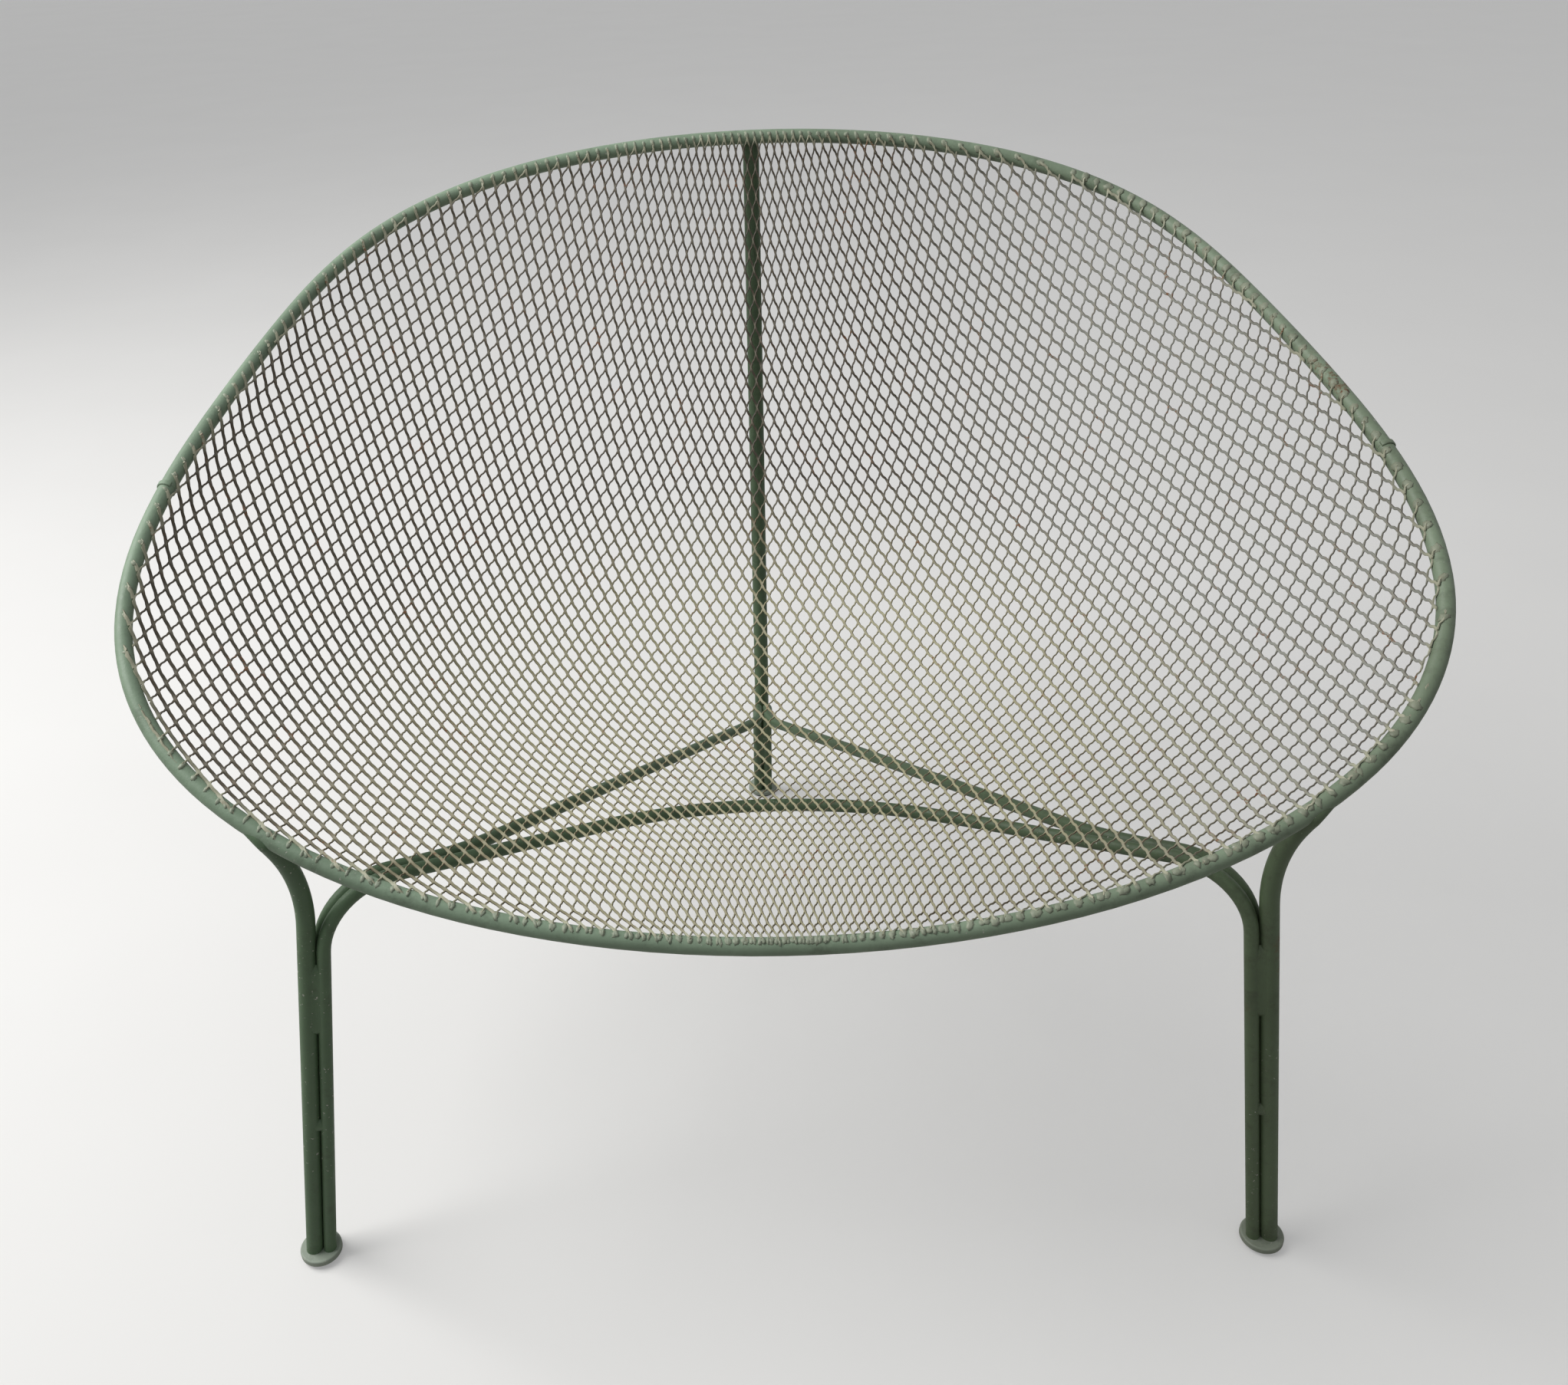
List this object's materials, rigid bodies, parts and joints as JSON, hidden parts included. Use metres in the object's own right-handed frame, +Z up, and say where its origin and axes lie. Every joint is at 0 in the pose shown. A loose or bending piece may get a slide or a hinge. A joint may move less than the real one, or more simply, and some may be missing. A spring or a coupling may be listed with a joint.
{
  "type": "patio chair",
  "caption": "Wide bucket-shaped patio lounge chair: a dished expanded-metal sheet welded inside a bent rim bar, standing on splayed bundled-bar legs tied by stretchers.",
  "frame": {"origin": "on the floor, under the middle of the chair's bounding box", "axes": "+X to the right as seen from the front, +Y from the front edge to the back, +Z up"},
  "size_m": [0.9998, 0.7726, 0.7731],
  "materials": {
    "frame_paint": "worn satin",
    "mesh_paint": "worn matte",
    "tack_paint": "worn satin",
    "foot_paint": "worn satin",
    "glide": "scuffed"
  },
  "bodies": {
    "root": {"back_tack_welds": "tack_paint", "front_stretcher": "frame_paint", "front_tack_welds": "tack_paint", "left_foot_disc": "foot_paint", "left_glide": "glide", "left_leg_tack": "frame_paint", "left_leg_weld": "frame_paint", "left_stretcher": "frame_paint", "left_upright": "frame_paint", "left_upright_weld": "frame_paint", "rear_foot_disc": "foot_paint", "rear_glide": "glide", "rear_leg_tack": "frame_paint", "rear_leg_weld": "frame_paint", "rear_spine": "frame_paint", "right_foot_disc": "foot_paint", "right_glide": "glide", "right_leg_tack": "frame_paint", "right_leg_weld": "frame_paint", "right_stretcher": "frame_paint", "right_upright": "frame_paint", "right_upright_weld": "frame_paint", "rim_back_hoop": "frame_paint", "rim_front_hoop": "frame_paint", "rim_weld_left": "frame_paint", "rim_weld_right": "frame_paint", "seat_mesh": "mesh_paint", "spine_weld": "frame_paint"}
  },
  "joints": []
}
